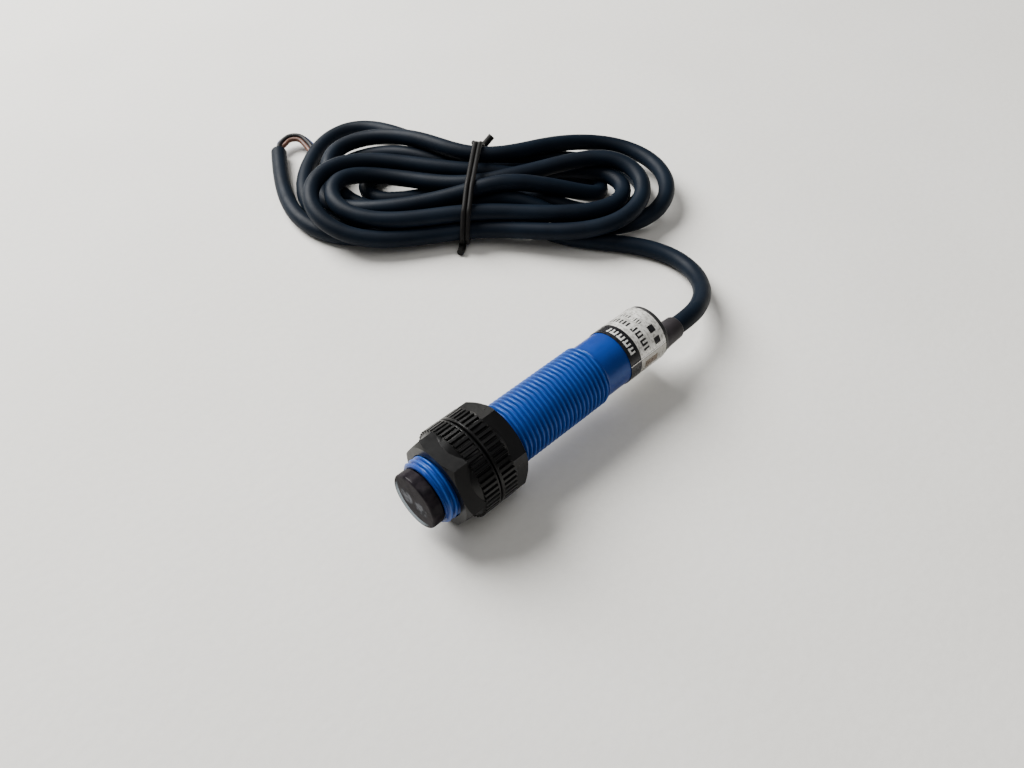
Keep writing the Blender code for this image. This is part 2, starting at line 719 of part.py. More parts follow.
def make_outer_core(name, material, place):
    """A bare core that turns back to the hank in a half circle; place is -1, 0 or 1 across the jacket."""
    end = Vector(TAIL_ROUTE[-1])
    heading = (end - Vector(TAIL_ROUTE[-2])).normalized()
    sideways = Vector((heading.y, -heading.x, 0.0))
    start = end + heading * 0.4
    radius = CORE_BEND_R - CORE_PITCH * place
    bend_steps = 6
    route = []
    for step in range(bend_steps + 1):
        angle = math.pi * step / bend_steps
        point = start + sideways * (CORE_BEND_R - radius * math.cos(angle)) + heading * radius * math.sin(angle)
        route.append(point)
    route.append(route[-1] - heading * 1.5)
    return tube(name, smooth_route([on_hank(point) for point in route], 1.3 * MM), CORE_R, material)


# ---------------------------------------------------------------- assembly
def make_materials():
    return {
        "housing": new_material("blue_plastic", (0.05, 0.16, 0.55), 0.38),
        "cap": new_material("smoked_clear", (0.05, 0.03, 0.04), 0.1, alpha=0.6),
        "seal": new_material("black_rubber", (0.02, 0.02, 0.02), 0.7),
        "holder": new_material("black_optical_plastic", (0.015, 0.015, 0.018), 0.6),
        "lens": new_material("clear_lens", (0.8, 0.82, 0.85), 0.05, alpha=0.35),
        "led": new_material("red_led", (0.5, 0.03, 0.03), 0.15),
        "diode": new_material("dark_sensor", (0.03, 0.02, 0.04), 0.2),
        "metal": new_material("tinned_metal", (0.62, 0.62, 0.6), 0.3, 1.0),
        "nut": new_material("black_nylon", (0.022, 0.024, 0.024), 0.45),
        "board": new_material("green_board", (0.02, 0.16, 0.07), 0.4),
        "package": new_material("black_package", (0.02, 0.02, 0.022), 0.5),
        "capacitor": new_material("tan_capacitor", (0.45, 0.28, 0.12), 0.45),
        "indicator": new_material("orange_led", (0.9, 0.3, 0.03), 0.2),
        "trimmer": new_material("blue_trimmer", (0.03, 0.12, 0.4), 0.4),
        "adjuster": new_material("white_adjuster", (0.75, 0.74, 0.7), 0.4),
        "window": new_material("clear_window", (0.85, 0.8, 0.7), 0.1, alpha=0.5),
        "rear": new_material("black_end_cap", (0.03, 0.03, 0.032), 0.45),
        "boot": new_material("grey_boot", (0.09, 0.085, 0.09), 0.55),
        "label": new_material("silver_label", (0.62, 0.62, 0.6), 0.35, 0.5),
        "cable": new_material("dark_cable", (0.03, 0.045, 0.07), 0.42),
        "tie": new_material("black_tie", (0.02, 0.02, 0.02), 0.5),
        "brown": new_material("brown_insulation", (0.24, 0.09, 0.04), 0.45),
        "blue": new_material("blue_insulation", (0.03, 0.1, 0.42), 0.45),
        "black": new_material("black_insulation", (0.015, 0.015, 0.015), 0.45),
    }


def make_sensor(materials):
    make_housing(materials["housing"])
    make_lens_cap(materials["cap"])
    make_cap_seal(materials["seal"])
    make_lens("emitter_lens", materials["lens"], LENS_SPACING / 2)
    make_lens("receiver_lens", materials["lens"], -LENS_SPACING / 2)
    make_lens_holder(materials["holder"])
    make_emitter_led(materials["led"])
    make_receiver(materials["diode"], materials["metal"])
    make_nut("front_nut", materials["nut"], NUT_FRONT, 1, FRONT_NUT_TURN)
    make_nut("rear_nut", materials["nut"], 2 * NUT_JOINT - NUT_FRONT, -1, REAR_NUT_TURN)
    make_board(materials["board"])
    adjuster_place = make_board_parts(materials)
    make_adjuster(materials["adjuster"], *adjuster_place)
    window_profile = cylinder_profile(WINDOW_R, WINDOW_START, WINDOW_END)
    turned("indicator_window", window_profile, materials["window"], 20, False,
           on_sensor(0.0, WINDOW_ACROSS, WINDOW_UP))
    make_label(materials["label"])
    make_end_cap(materials["rear"], adjuster_place)
    make_strain_relief(materials["boot"])
    make_cable_clamp(materials["metal"])
    across, up = offset_at(CABLE_OFFSET, CABLE_ANGLE)
    for color, angle, pad in (("brown", -120, -3.3), ("black", 0, -1.8), ("blue", 120, -0.3)):
        sideways, rise = offset_at(CORE_SPREAD, angle)
        make_inner_core(color + "_core_inside", materials[color], across + sideways, up + rise, pad)


def make_cable(materials):
    hank_frame = new_frame("hank_frame", hank_matrix())
    make_hank(materials["cable"], hank_frame)
    make_tie(materials["tie"], hank_frame)
    make_lead(materials["cable"])
    make_tail(materials["cable"])
    for place, color in ((-1, "brown"), (0, "black"), (1, "blue")):
        make_outer_core(color + "_core", materials[color], place)


def main():
    materials = make_materials()
    make_sensor(materials)
    make_cable(materials)
    bpy.context.view_layer.update()


main()
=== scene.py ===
"""Looks of the M12 photoelectric sensor: camera, cable, fine pieces, materials, floor and light.

Lengths in the constants are in mm. "Along" is the distance behind the lens cap's front face, and angles
round the sensor are in degrees from the top towards +Y.
"""
import math

import bmesh
import bpy
import numpy as np
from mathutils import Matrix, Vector


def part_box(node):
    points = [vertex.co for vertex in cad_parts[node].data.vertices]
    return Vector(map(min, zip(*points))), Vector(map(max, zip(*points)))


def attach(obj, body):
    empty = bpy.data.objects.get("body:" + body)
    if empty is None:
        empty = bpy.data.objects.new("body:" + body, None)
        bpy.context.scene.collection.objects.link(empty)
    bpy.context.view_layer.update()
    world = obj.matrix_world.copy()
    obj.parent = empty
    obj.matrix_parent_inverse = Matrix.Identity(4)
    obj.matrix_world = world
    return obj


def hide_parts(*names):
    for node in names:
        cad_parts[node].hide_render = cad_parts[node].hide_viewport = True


MM = 0.001

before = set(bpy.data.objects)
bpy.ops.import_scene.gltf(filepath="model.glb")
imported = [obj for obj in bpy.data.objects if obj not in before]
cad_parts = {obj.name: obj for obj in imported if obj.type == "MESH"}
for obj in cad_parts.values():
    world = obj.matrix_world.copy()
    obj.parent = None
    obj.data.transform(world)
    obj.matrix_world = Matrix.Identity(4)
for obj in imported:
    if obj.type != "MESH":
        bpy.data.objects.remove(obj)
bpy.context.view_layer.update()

# ---------------------------------------------------------------- where things are, from the frame
LENS_FACE_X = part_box("lens_cap")[0][0]
AXIS_Z = (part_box("housing")[0][2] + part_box("housing")[1][2]) / 2


def along_of(node, end):
    """Where a node's front (0) or rear (1) lies along the sensor."""
    return (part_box(node)[end][0] - LENS_FACE_X) / MM


def on_ground(point):
    """World place, in metres, of a point given along, towards +Y and up, in mm."""
    return Vector((LENS_FACE_X + point[0] * MM, point[1] * MM, point[2] * MM))


# ---------------------------------------------------------------- camera
CAMERA_PLACE = (-45.65, -71.79, 131.13)
CAMERA_HEADING = (0.4576, 0.4849, -0.7453)
FOCAL_LENGTH = 31.64
FILM_WIDTH = 36.0


def make_camera():
    """Above and in front of the sensor's -Y side, 48 degrees up, a wide lens close to the object."""
    data = bpy.data.cameras.new("camera")
    data.lens = FOCAL_LENGTH
    data.sensor_width = FILM_WIDTH
    data.clip_start = 5 * MM
    camera = bpy.data.objects.new("camera", data)
    bpy.context.scene.collection.objects.link(camera)
    camera.location = on_ground(CAMERA_PLACE)
    camera.rotation_euler = Vector(CAMERA_HEADING).to_track_quat('-Z', 'Y').to_euler()
    bpy.context.scene.camera = camera


make_camera()

# ---------------------------------------------------------------- the cable
CABLE_R = 1.9
CABLE_OFFSET = 2.6            # the cable leaves the rear face off the sensor's axis
CABLE_ANGLE = -116.0
CABLE_INSIDE = (51.4, 55.0, 59.0)  # along: the jacket's start in the clamp, and on through the end cap
LYING_HEIGHT = CABLE_R + 0.05  # of the cable's middle where it lies on the ground

# The cable's route from the strain relief towards the hank, along, towards +Y and up.
LEAD_ROUTE = [
    (63.7, -2.34, 7.56), (68.0, -2.2, 7.3), (72.3, -1.2, 6.5), (76.6, 1.1, 5.0), (80.7, 4.8, 3.4),
    (84.2, 9.6, 2.35), (86.3, 14.6, 2.0), (86.3, 18.4, 2.0),
]

# The hank lies beside the sensor. Its own u axis runs along the turns, its v axis away from the sensor.
HANK_CENTRE = (66.9, 60.7)
HANK_TURN = -43.3             # degrees from +X to the u axis

# The way into the hank, out of it and on to the cut end, in the hank's u, v and height.
HANK_ENTRY = [(39.5, -16.6, 2.0), (30.5, -15.6, 2.0), (21.5, -13.0, 2.0), (11.0, -7.4, 2.6)]
HANK_EXIT = [(-11.0, -10.2, 2.6), (-21.0, -12.8, 2.0), (-30.5, -12.6, 2.0), (-36.0, -8.6, 2.0)]
TAIL_ROUTE = [
    (-39.9, -3.0, 2.0), (-42.6, 1.8, 2.0), (-45.4, 7.5, 2.0), (-47.8, 13.4, 2.0), (-49.2, 19.6, 2.0),
]

# The hank's six turns before they settle, in the same u, v and height. A turn passes the tie on the
# near side, goes round the left lobe, passes the tie on the far side and goes round the right lobe. The
# places at the tie are v and height. A lobe is its widest place on the near side, its end, and its
# widest place on the far side.
TURNS = [
    {"near": (0.8, 3.0), "left": ((-21, -5.3, 2.0), (-37.4, 5.6, 4.6), (-25.4, 19.0, 4.8)),
     "far": (5.8, 8.4), "right": ((29, -11.4, 2.0), (45.4, -0.4, 4.0), (32, 19.6, 3.6))},
    {"near": (-4.2, 3.0), "left": ((-21, -9.0, 2.0), (-38.4, 12.0, 2.0), (-32, 33.6, 2.2)),
     "far": (10.0, 6.4), "right": ((24, -6.4, 2.0), (41.6, 2.6, 2.0), (30.5, 15.0, 2.0))},
    {"near": (4.7, 3.0), "left": ((-20.7, -1.4, 2.0), (-31.6, 8.0, 2.0), (-25.6, 13.2, 2.0)),
     "far": (12.1, 3.0), "right": ((21, -3.8, 3.0), (34.4, 4.2, 2.0), (28, 11.2, 2.0))},
    {"near": (-6.4, 5.8), "left": ((-21, -9.0, 4.6), (-35.4, 5.6, 2.0), (-26, 17.2, 2.0)),
     "far": (8.2, 3.0), "right": ((20.6, -11.0, 4.0), (37.6, 0.2, 2.2), (28.5, 7.4, 2.0))},
    {"near": (-10.2, 5.8), "left": ((-19, -13.2, 4.4), (-35.4, -1.8, 4.0), (-25, 6.0, 2.2)),
     "far": (-1.4, 5.8), "right": ((24, -16.1, 4.6), (39.4, -2.8, 5.2), (31, 6.8, 5.2))},
    {"near": (-12.0, 3.0), "left": ((-22.6, -16.7, 2.4), (-35.4, -8.8, 6.6), (-24, 7.6, 5.4)),
     "far": (3.0, 6.2), "right": ((20, -2.2, 2.0), (31.2, 0.6, 2.0), (26, 4.4, 2.0))},
]
LAST_NEAR = (-8.2, 3.0)
LOBE_OPENING = 0.52           # share of a lobe's width that is reached halfway from the tie

TIE_R = 0.55
TIE_TURNS = 2
TIE_LEAN = 0.09               # the tie leans towards the right lobe on its way up and back
TIE_CENTRE_V = 1.0
TIE_LIFT = 2 * TIE_R - 0.1    # the strands over the tie lie this much higher

# How the turns settle. A step is one point of the cable, and its start and end stay where they are.
CABLE_STEP = 1.9              # between points of the settled cable
TURN_SPACING = 3.86           # turns settle this far apart, middle to middle
SETTLE_ROUNDS = 400
LEAD_STEPS = 40               # the tie doesn't lift these
FIXED_START = 12
FIXED_END = 4
NEIGHBOUR_STEPS = 7           # points nearer than this along the cable don't push each other
PAIRS_EVERY = 12              # rounds between searches for close pairs
PAIR_MARGIN = 3.0
PUSH = 1.6
LOOSE_HOLD = 0.05             # how much of its shift a turn loses in a round
TIE_HOLD = 0.2                # and more under the tie
TIE_REACH = 6.0
SINK = 0.05
SMOOTHING = 0.8
STIFF_REACH = 4               # steps over which the cable's stiffness is felt
TIGHTEST_BEND = 10.0
UNBENDING = 0.3               # share of a tight bend's excess that opens at once
SPREAD_UNTIL = 0.08           # share of the rounds left when pushes stop spreading along the cable
UNBEND_UNTIL = 0.05           # and when bends stop opening

# Short folds that are left after that are opened at the end.
TIGHTEST_FOLD = 7.0
FOLD_REACH = 2
KINK_ROUNDS = 10
KINK_REPEATS = 4

HANK_U = np.array([math.cos(math.radians(HANK_TURN)), math.sin(math.radians(HANK_TURN)), 0.0])
HANK_V = np.array([-HANK_U[1], HANK_U[0], 0.0])
HANK_ORIGIN = np.array([*HANK_CENTRE, 0.0])


def on_hank(point):
    """A point of the hank's frame given along, towards +Y and up."""
    return HANK_ORIGIN + point[0] * HANK_U + point[1] * HANK_V + np.array([0.0, 0.0, point[2]])


def in_hank(points):
    """Points given along, towards +Y and up, in the hank's u, v and height."""
    offset = points - HANK_ORIGIN
    return np.stack([offset @ HANK_U, offset @ HANK_V, points[:, 2]], axis=-1)


def smooth_route(points, spacing):
    """Points about one spacing apart on a centripetal Catmull-Rom curve through the given points."""
    route = [np.array(point, float) for point in points]
    route = [2 * route[0] - route[1]] + route + [2 * route[-1] - route[-2]]
    result = [route[1]]
    for i in range(1, len(route) - 2):
        p0, p1, p2, p3 = route[i - 1:i + 3]
        t1 = np.linalg.norm(p1 - p0) ** 0.5
        t2 = t1 + np.linalg.norm(p2 - p1) ** 0.5
        t3 = t2 + np.linalg.norm(p3 - p2) ** 0.5
        count = max(1, round(float(np.linalg.norm(p2 - p1)) / spacing))
        for t in t1 + (t2 - t1) * np.arange(1, count + 1) / count:
            a1 = p0 + (p1 - p0) * t / t1
            a2 = p1 + (p2 - p1) * (t - t1) / (t2 - t1)
            a3 = p2 + (p3 - p2) * (t - t2) / (t3 - t2)
            b1 = a1 + (a2 - a1) * t / t2
            b2 = a2 + (a3 - a2) * (t - t1) / (t3 - t1)
            result.append(b1 + (b2 - b1) * (t - t1) / (t2 - t1))
    return np.array(result)


def evenly(line, spacing):
    """The same line with its points evenly spaced."""
    distance = np.r_[0, np.cumsum(np.linalg.norm(np.diff(line, axis=0), axis=1))]
    places = np.linspace(0, distance[-1], round(float(distance[-1]) / spacing) + 1)
    return np.stack([np.interp(places, distance, line[:, axis]) for axis in range(3)], axis=-1)


def lobe_points(tie_near, lobe, tie_far):
    """One lobe from the near side to the far side, its end a quarter ellipse on each side."""
    near, end, far = [np.array(point, float) for point in lobe]
    diagonal = math.sin(math.radians(45))

    def towards_tie(widest, at_tie):
        v = at_tie[0] + (widest[1] - at_tie[0]) * LOBE_OPENING
        return np.array([widest[0] / 2, v, (at_tie[1] + widest[2]) / 2])

    def rounding(widest):
        u = widest[0] + (end[0] - widest[0]) * diagonal
        v = end[1] + (widest[1] - end[1]) * diagonal
        return np.array([u, v, (widest[2] + end[2]) / 2])

    near_side = [towards_tie(near, tie_near), near, rounding(near)]
    far_side = [rounding(far), far, towards_tie(far, tie_far)]
    return [*near_side, end, *far_side]


def hank_points():
    """All turns in one line, before they settle."""
    points = []
    next_nears = [turn["near"] for turn in TURNS[1:]] + [LAST_NEAR]
    for turn, next_near in zip(TURNS, next_nears):
        points.append((0.0, *turn["near"]))
        points += lobe_points(turn["near"], turn["left"], turn["far"])
        points.append((0.0, *turn["far"]))
        points += reversed(lobe_points(next_near, turn["right"], turn["far"]))
    points.append((0.0, *LAST_NEAR))
    return points


def spread_out(shift):
    """A push on one place moves a smooth stretch of the cable."""
    for reach in (1, 2, 3):
        smooth = shift.copy()
        smooth[reach:-reach] = (shift[:-2 * reach] + shift[2 * reach:] + 2 * shift[reach:-reach]) / 4
        shift = smooth
    return shift


def pushed_apart(line, first, second):
    """Each pair of points that is too close moves apart, averaged where a point is in several pairs."""
    count = len(line)
    offset = line[first] - line[second]
    gap = np.linalg.norm(offset, axis=1) + 1e-9
    close = gap < TURN_SPACING
    push = offset[close] * ((TURN_SPACING - gap[close]) / gap[close] / 2)[:, None]
    i, j = first[close], second[close]
    pairs = np.maximum(1, np.bincount(i, minlength=count) + np.bincount(j, minlength=count))
    moved = line.copy()
    for axis in range(3):
        total = np.bincount(i, push[:, axis], count) - np.bincount(j, push[:, axis], count)
        moved[:, axis] += total / pairs * PUSH
    return moved


def unbent(line, reach, tightest):
    """Bends tighter than the given radius, felt over reach steps, open up a little."""
    inwards = (line[:-2 * reach] + line[2 * reach:]) / 2 - line[reach:-reach]
    depth = np.linalg.norm(inwards, axis=1)
    allowed = (reach * CABLE_STEP) ** 2 / 2 / tightest
    share = np.clip(depth - allowed, 0, None) / (depth + 1e-9) * UNBENDING
    line[reach:-reach] += inwards * share[:, None]
    return line


def evened_out(line, strength):
    """One round of smoothing that takes out short waves and leaves long bends as they are."""
    for share in (strength, -strength * 1.02):
        smooth = line.copy()
        smooth[3:-3] += share * ((line[:-6] + line[6:]) * 0.15 + (line[1:-5] + line[5:-1]) * 0.2
                                 + (line[2:-4] + line[4:-2]) * 0.15 - line[3:-3])
        line = smooth
    return line


def settled(laid_out):
    """The turns push each other apart, sink onto each other and the ground, and stay stiff."""
    count = len(laid_out)
    order = np.arange(count)
    moves = ((order > FIXED_START) & (order < count - FIXED_END)).astype(float)[:, None]
    under_tie = np.exp(-(in_hank(laid_out)[:, :1] / TIE_REACH) ** 2)
    hold = LOOSE_HOLD + TIE_HOLD * under_tie
    floor = LYING_HEIGHT + TIE_LIFT * under_tie[:, 0]
    floor[:LEAD_STEPS] = LYING_HEIGHT
    low, high = np.triu_indices(count, NEIGHBOUR_STEPS)
    line = laid_out.copy()
    shift = np.zeros_like(line)
    for rounds_done in range(SETTLE_ROUNDS):
        early = 1 - rounds_done / SETTLE_ROUNDS
        if rounds_done % PAIRS_EVERY == 0:
            near = np.linalg.norm(line[low] - line[high], axis=1) < TURN_SPACING + PAIR_MARGIN
            first, second = low[near], high[near]
        shift *= 1 - hold * early
        shift[:, 2] -= SINK * early
        if early > SPREAD_UNTIL:
            shift = spread_out(shift)
        line = laid_out + shift * moves
        line = line + (evened_out(line, SMOOTHING) - line) * moves
        for _ in range(2):
            line = pushed_apart(line, first, second)
            line[:, 2] = np.maximum(line[:, 2], floor)
        if early > UNBEND_UNTIL:
            line = unbent(line, STIFF_REACH, TIGHTEST_BEND)
        shift = (line - laid_out) * moves
    return laid_out + shift


def without_kinks(line):
    """Spaces the points evenly again and opens the folds that are still too tight."""
    for _ in range(KINK_ROUNDS):
        line = evenly(line, CABLE_STEP)
        for _ in range(KINK_REPEATS):
            line = unbent(line, FOLD_REACH, TIGHTEST_FOLD)
        line[:, 2] = np.maximum(line[:, 2], LYING_HEIGHT)
    return line


def make_cable_line():
    """The whole cable from inside the end cap to its cut end, along, towards +Y and up, in mm."""
    turn = math.radians(CABLE_ANGLE)
    across = CABLE_OFFSET * math.sin(turn)
    height = AXIS_Z / MM + CABLE_OFFSET * math.cos(turn)
    inside = [(along, across, height) for along in CABLE_INSIDE]
    route = [np.array(point) for point in inside + LEAD_ROUTE]
    route += [on_hank(point) for point in HANK_ENTRY + hank_points() + HANK_EXIT + TAIL_ROUTE]
    line = without_kinks(settled(evenly(smooth_route(route, 1.0), CABLE_STEP)))
    every_second = [*line[:-1:2], line[-1]]
    return smooth_route(every_second, 1.0)


def tube(name, line, radius, roundness):
    """A round tube with closed ends along points given like on_ground's."""
    curve = bpy.data.curves.new(name, 'CURVE')
    curve.dimensions = '3D'
    curve.bevel_depth = radius * MM
    curve.bevel_resolution = roundness
    curve.use_fill_caps = True
    spline = curve.splines.new('POLY')
    spline.points.add(len(line) - 1)
    for point, place in zip(spline.points, line):
        point.co = (*on_ground(place), 1.0)
    piece = bpy.data.objects.new(name, curve)
    bpy.context.scene.collection.objects.link(piece)
    return piece


cable_line = make_cable_line()
cable = tube("cable", cable_line, CABLE_R, 6)


# ---------------------------------------------------------------- node materials
class Shade:
    """A Principled material that is built node by node."""

    def __init__(self, name, roughness=0.5, **settings):
        self.material = bpy.data.materials.new(name)
        self.material.use_nodes = True
        self.tree = self.material.node_tree
        self.shader = self.tree.nodes["Principled BSDF"]
        self.shader.inputs["Roughness"].default_value = roughness
        for socket, value in settings.items():
            self.shader.inputs[socket.replace("_", " ")].default_value = value
        self.place = self.tree.nodes.new("ShaderNodeTexCoord").outputs["Object"]
        self.height = None

    def link(self, value, socket):
        """Gives a socket a number, a colour or another node's output."""
        if isinstance(value, (int, float)):
            socket.default_value = value
        elif isinstance(value, tuple):
            socket.default_value = (*value, 1.0) if len(value) == 3 else value
        else:
            self.tree.links.new(value, socket)

    def math(self, operation, first, second=0.0, third=0.0):
        node = self.tree.nodes.new("ShaderNodeMath")
        node.operation = operation
        for value, socket in zip((first, second, third), node.inputs):
            self.link(value, socket)
        return node.outputs[0]

    def noise(self, size, detail=2.0, stretch=(1.0, 1.0, 1.0), roughness=0.5):
        """Noise whose features are about size mm across."""
        mapping = self.tree.nodes.new("ShaderNodeMapping")
        mapping.inputs["Scale"].default_value = [value / (size * MM) for value in stretch]
        self.link(self.place, mapping.inputs["Vector"])
        node = self.tree.nodes.new("ShaderNodeTexNoise")
        node.inputs["Scale"].default_value = 1.0
        node.inputs["Detail"].default_value = detail
        node.inputs["Roughness"].default_value = roughness
        self.link(mapping.outputs[0], node.inputs["Vector"])
        return node.outputs["Fac"]

    def ramp(self, value, low, high):
        """value mapped so that low gives 0 and high gives 1."""
        node = self.tree.nodes.new("ShaderNodeMapRange")
        node.interpolation_type = 'SMOOTHSTEP'
        node.inputs["From Min"].default_value = low
        node.inputs["From Max"].default_value = high
        self.link(value, node.inputs["Value"])
        return node.outputs[0]

    def mix(self, amount, first, second):
        """The first colour where amount is 0 and the second where it is 1."""
        node = self.tree.nodes.new("ShaderNodeMix")
        node.data_type = 'RGBA'
        self.link(amount, node.inputs[0])
        self.link(first, node.inputs[6])
        self.link(second, node.inputs[7])
        return node.outputs[2]

    def edges(self):
        """1 on the object's sharp outer edges."""
        node = self.tree.nodes.new("ShaderNodeNewGeometry")
        return self.ramp(node.outputs["Pointiness"], 0.51, 0.6)

    def cylinder(self):
        """Along the sensor in mm, the angle from the top towards +Y in degrees, and the radius in mm."""
        node = self.tree.nodes.new("ShaderNodeSeparateXYZ")
        self.link(self.place, node.inputs[0])
        along = self.math('MULTIPLY', self.math('SUBTRACT', node.outputs[0], LENS_FACE_X), 1 / MM)
        up = self.math('SUBTRACT', node.outputs[2], AXIS_Z)
        angle = self.math('DEGREES', self.math('ARCTAN2', node.outputs[1], up))
        radius = self.math('SQRT', self.math('ADD', self.math('POWER', node.outputs[1], 2.0),
                                             self.math('POWER', up, 2.0)))
        return along, angle, self.math('MULTIPLY', radius, 1 / MM)

    def between(self, value, low, high):
        """1 where value lies between low and high."""
        above = self.math('GREATER_THAN', value, low)
        return self.math('MULTIPLY', above, self.math('LESS_THAN', value, high))

    def color(self, value):
        self.link(value, self.shader.inputs["Base Color"])

    def rough(self, noise, low, high):
        """Roughness from low to high, by noise."""
        node = self.tree.nodes.new("ShaderNodeMapRange")
        node.inputs["To Min"].default_value = low
        node.inputs["To Max"].default_value = high
        self.link(noise, node.inputs["Value"])
        self.link(node.outputs[0], self.shader.inputs["Roughness"])

    def bump(self, height, depth, strength=1.0):
        """Adds relief of depth mm."""
        node = self.tree.nodes.new("ShaderNodeBump")
        node.inputs["Strength"].default_value = strength
        node.inputs["Distance"].default_value = depth * MM
        self.link(height, node.inputs["Height"])
        if self.height is not None:
            self.link(self.height, node.inputs["Normal"])
        self.height = node.outputs[0]
        self.link(self.height, self.shader.inputs["Normal"])


def moulded(name, color, roughness, grain=0.12, depth=0.012, tone=0.15, worn=0.0, **settings):
    """Moulded plastic or rubber: fine grain, slow changes of tone and shine, and pale edges if worn."""
    shade = Shade(name, roughness, **settings)
    slow = shade.noise(4.0, 3.0)
    dark = tuple(value * (1 - tone) for value in color)
    light = tuple(min(1.0, value * (1 + tone)) for value in color)
    body = shade.mix(shade.ramp(slow, 0.3, 0.7), dark, light)
    if worn:
        pale = tuple(min(1.0, value * 1.6 + 0.05) for value in color)
        rubbed = shade.math('MULTIPLY', shade.edges(), shade.ramp(shade.noise(0.7, 2.0), 0.35, 0.7))
        body = shade.mix(shade.math('MULTIPLY', rubbed, worn), body, pale)
    shade.color(body)
    shade.rough(shade.noise(1.2, 3.0), max(0.02, roughness - 0.08), roughness + 0.1)
    shade.bump(shade.noise(grain, 2.0), depth)
    return shade.material


def blue_barrel():
    """Glossy blue ABS with a painted highlight that makes the thread's crests paler, and faint moulding
    ripples.
    """
    shade = Shade("blue_barrel", 0.36, Specular_IOR_Level=0.45, Specular_Tint=(0.35, 0.6, 1.0, 1.0))
    _, _, radius = shade.cylinder()
    slow = shade.noise(5.0, 3.0)
    body = shade.mix(shade.ramp(slow, 0.25, 0.75), (0.0022, 0.0215, 0.150), (0.0032, 0.030, 0.205))
    # Painted highlight: the thread's crests are paler.
    crest_highlight = shade.ramp(radius, 5.6, 6.0)
    body = shade.mix(shade.math('MULTIPLY', crest_highlight, 0.35), body, (0.015, 0.12, 0.52))
    shade.color(body)
    shade.rough(shade.noise(0.8, 3.0), 0.28, 0.46)
    shade.bump(shade.noise(0.25, 3.0, (0.3, 1.0, 1.0)), 0.012)
    return shade.material


CAP_FACE = 0.35               # along: what is in front of this is the cap's face
CAP_FACE_R = 4.7
# where the painted highlight on the rim is brightest, in degrees round the sensor
RIM_GLINT_ANGLE = 150.0
RIM_R = 4.5
RIM_SHIFT = 1.15
LENS_ACROSS = 1.85            # the lenses' centres, either side of the axis
LENS_FADE = (1.8, 1.1)        # from these radii a lens begins to show, and shows fully


def smoked_cap():
    """Dark smoked plastic: two lenses show as discs with painted glints in cloudy patches, and a painted
    highlight makes the rim paler low on one side.
    """
    shade = Shade("smoked_cap", 0.2, Specular_IOR_Level=0.0, Coat_Weight=0.12, Coat_Roughness=0.12)
    along, angle, radius = shade.cylinder()
    turn = shade.math('RADIANS', angle)
    front = shade.math('LESS_THAN', along, CAP_FACE)
    slow = shade.ramp(shade.noise(1.5, 3.0), 0.3, 0.7)
    dark = shade.mix(slow, (0.007, 0.006, 0.008), (0.020, 0.017, 0.020))
    across = shade.math('ABSOLUTE', shade.math('MULTIPLY', radius, shade.math('SINE', turn)))
    up = shade.math('MULTIPLY', radius, shade.math('COSINE', turn))
    off_centre = shade.math('POWER', shade.math('SUBTRACT', across, LENS_ACROSS), 2.0)
    distance = shade.math('SQRT', shade.math('ADD', off_centre, shade.math('MULTIPLY', up, up)))
    lens = shade.math('MULTIPLY', shade.ramp(distance, *LENS_FADE), front)
    # Painted glints: cloudy pale patches on the painted lens discs.
    glint_clouds = shade.ramp(shade.noise(1.6, 2.0), 0.38, 0.64)
    body = shade.mix(lens, dark, shade.mix(glint_clouds, (0.012, 0.012, 0.016), (0.12, 0.125, 0.14)))
    # The painted highlight, a pale crescent on the rim, lies outside a circle that is shifted away from
    # it.
    towards = shade.math('COSINE', shade.math('SUBTRACT', turn, math.radians(RIM_GLINT_ANGLE)))
    shifted = shade.math('ADD', shade.math('POWER', radius, 2.0), RIM_SHIFT ** 2)
    sideways = shade.math('MULTIPLY', shade.math('MULTIPLY', radius, towards), 2 * RIM_SHIFT)
    shifted = shade.math('ADD', shifted, sideways)
    outside = shade.ramp(shade.math('SQRT', shifted), RIM_R, RIM_R + 0.2)
    face = shade.math('MULTIPLY', front, shade.math('LESS_THAN', radius, CAP_FACE_R))
    rim = shade.math('MULTIPLY', outside, face)
    # Painted highlight: the rim's pale crescent.
    pale = shade.math('MULTIPLY', rim, shade.ramp(towards, 0.0, 0.75))
    shade.color(shade.mix(shade.math('MULTIPLY', pale, 0.8), body, (0.27, 0.32, 0.36)))
    shade.rough(shade.noise(0.6, 3.0), 0.14, 0.3)
    shade.bump(shade.noise(0.4, 2.0), 0.003)
    return shade.material


def lens_plastic():
    """Moulded lens over a dark well: smoky, with painted glints as cloudy pale patches."""
    shade = Shade("clear_lens", 0.12, Coat_Weight=0.6)
    # Painted glints: cloudy pale patches.
    glint_clouds = shade.ramp(shade.noise(1.3, 3.0), 0.42, 0.62)
    shade.color(shade.mix(glint_clouds, (0.035, 0.036, 0.042), (0.40, 0.41, 0.45)))
    shade.rough(shade.noise(0.6, 2.0), 0.08, 0.2)
    shade.bump(shade.noise(0.9, 2.0), 0.004)
    return shade.material


def clear_plastic(name, color, roughness=0.06):
    """Clear tinted plastic with faint waves."""
    shade = Shade(name, roughness, Transmission_Weight=1.0, IOR=1.49)
    shade.color(shade.mix(shade.noise(0.8, 2.0), color, tuple(value * 0.9 for value in color)))
    shade.rough(shade.noise(0.5, 2.0), roughness * 0.6, roughness * 1.8)
    shade.bump(shade.noise(0.3, 2.0), 0.003)
    return shade.material


def metal(name, color, roughness):
    """Metal with a fine grain along the sensor and slow changes of tone."""
    shade = Shade(name, roughness, Metallic=1.0)
    shade.color(shade.mix(shade.noise(0.9, 3.0), color, tuple(value * 0.8 for value in color)))
    shade.rough(shade.noise(0.4, 3.0), roughness * 0.7, roughness * 1.4)
    shade.bump(shade.noise(0.15, 2.0, (0.2, 1.0, 1.0)), 0.006)
    return shade.material


